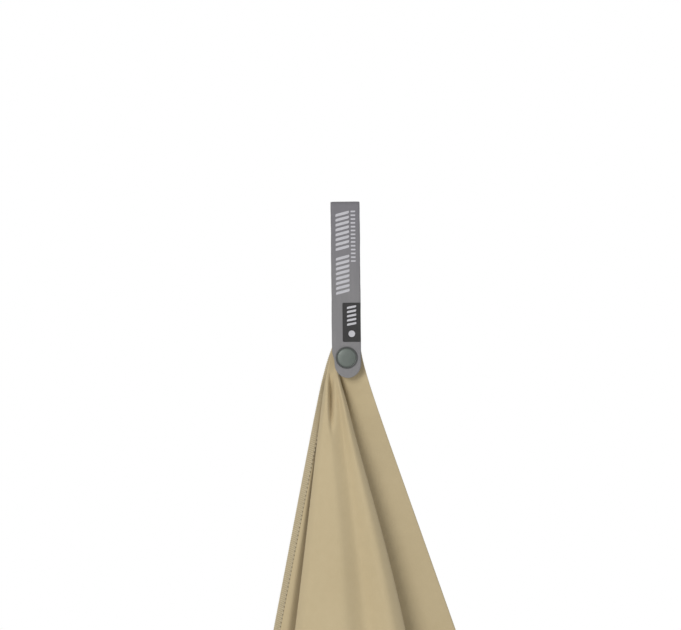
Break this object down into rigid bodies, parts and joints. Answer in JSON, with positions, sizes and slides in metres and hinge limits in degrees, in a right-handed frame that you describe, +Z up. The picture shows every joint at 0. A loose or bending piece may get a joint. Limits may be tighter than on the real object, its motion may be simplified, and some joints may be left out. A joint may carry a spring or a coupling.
{
  "type": "quick dry towel",
  "caption": "Small microfibre travel towel, gathered at one corner and hung from a webbing loop that opens with a press stud.",
  "frame": {"origin": "on the axis of the line or rail the loop hangs on, inside the top of the loop and half way across the webbing", "axes": "+X along the line, +Z up, -Y towards the front with the press stud's cap"},
  "size_m": [0.3041, 0.1062, 0.9573],
  "materials": {
    "webbing": "woven polyester ribbon, mid grey",
    "dark_patch": "dense dark satin weave",
    "light_thread": "off-white thread",
    "snap_face": "satin grey-green enamel over brass",
    "snap_inner": "dull nickel",
    "spring_wire": "bright drawn wire",
    "cloth": "knitted microfibre with a suede-like nap, sand",
    "hem_thread": "fluffy overlock thread, sand",
    "seam_thread": "grey bonded sewing thread",
    "tag_ribbon": "plain off-white satin ribbon"
  },
  "bodies": {
    "strap_back": {"strap_top_fold": "webbing", "strap_back_leg": "webbing", "snap_stud": "snap_inner", "snap_post": "snap_face", "towel_corner": "cloth", "corner_stitching": "seam_thread"},
    "strap_front": {"strap_front_leg": "webbing", "snap_cap": "snap_face", "snap_socket": "snap_inner", "snap_spring": "spring_wire", "side_label": "dark_patch", "label_motif": "light_thread", "strap_motif": "light_thread"},
    "towel": {"towel_panel": "cloth", "left_hem_thread": "hem_thread", "right_hem_thread": "hem_thread", "lower_short_hem_thread": "hem_thread", "lower_long_hem_thread": "hem_thread", "care_tag": "tag_ribbon"}
  },
  "joints": [
    {"name": "strap_open", "type": "hinge", "parent": "strap_back", "child": "strap_front", "pos_m": [0, 0, 0.0047], "axis": [-1, 0, 0], "range_deg": [0, 175], "deforming": ["snap_spring"]},
    {"name": "towel_swing", "type": "hinge", "parent": "strap_back", "child": "towel", "pos_m": [0, 0.0062, -0.1248], "axis": [-1, 0, 0], "range_deg": [-60, 60]}
  ]
}
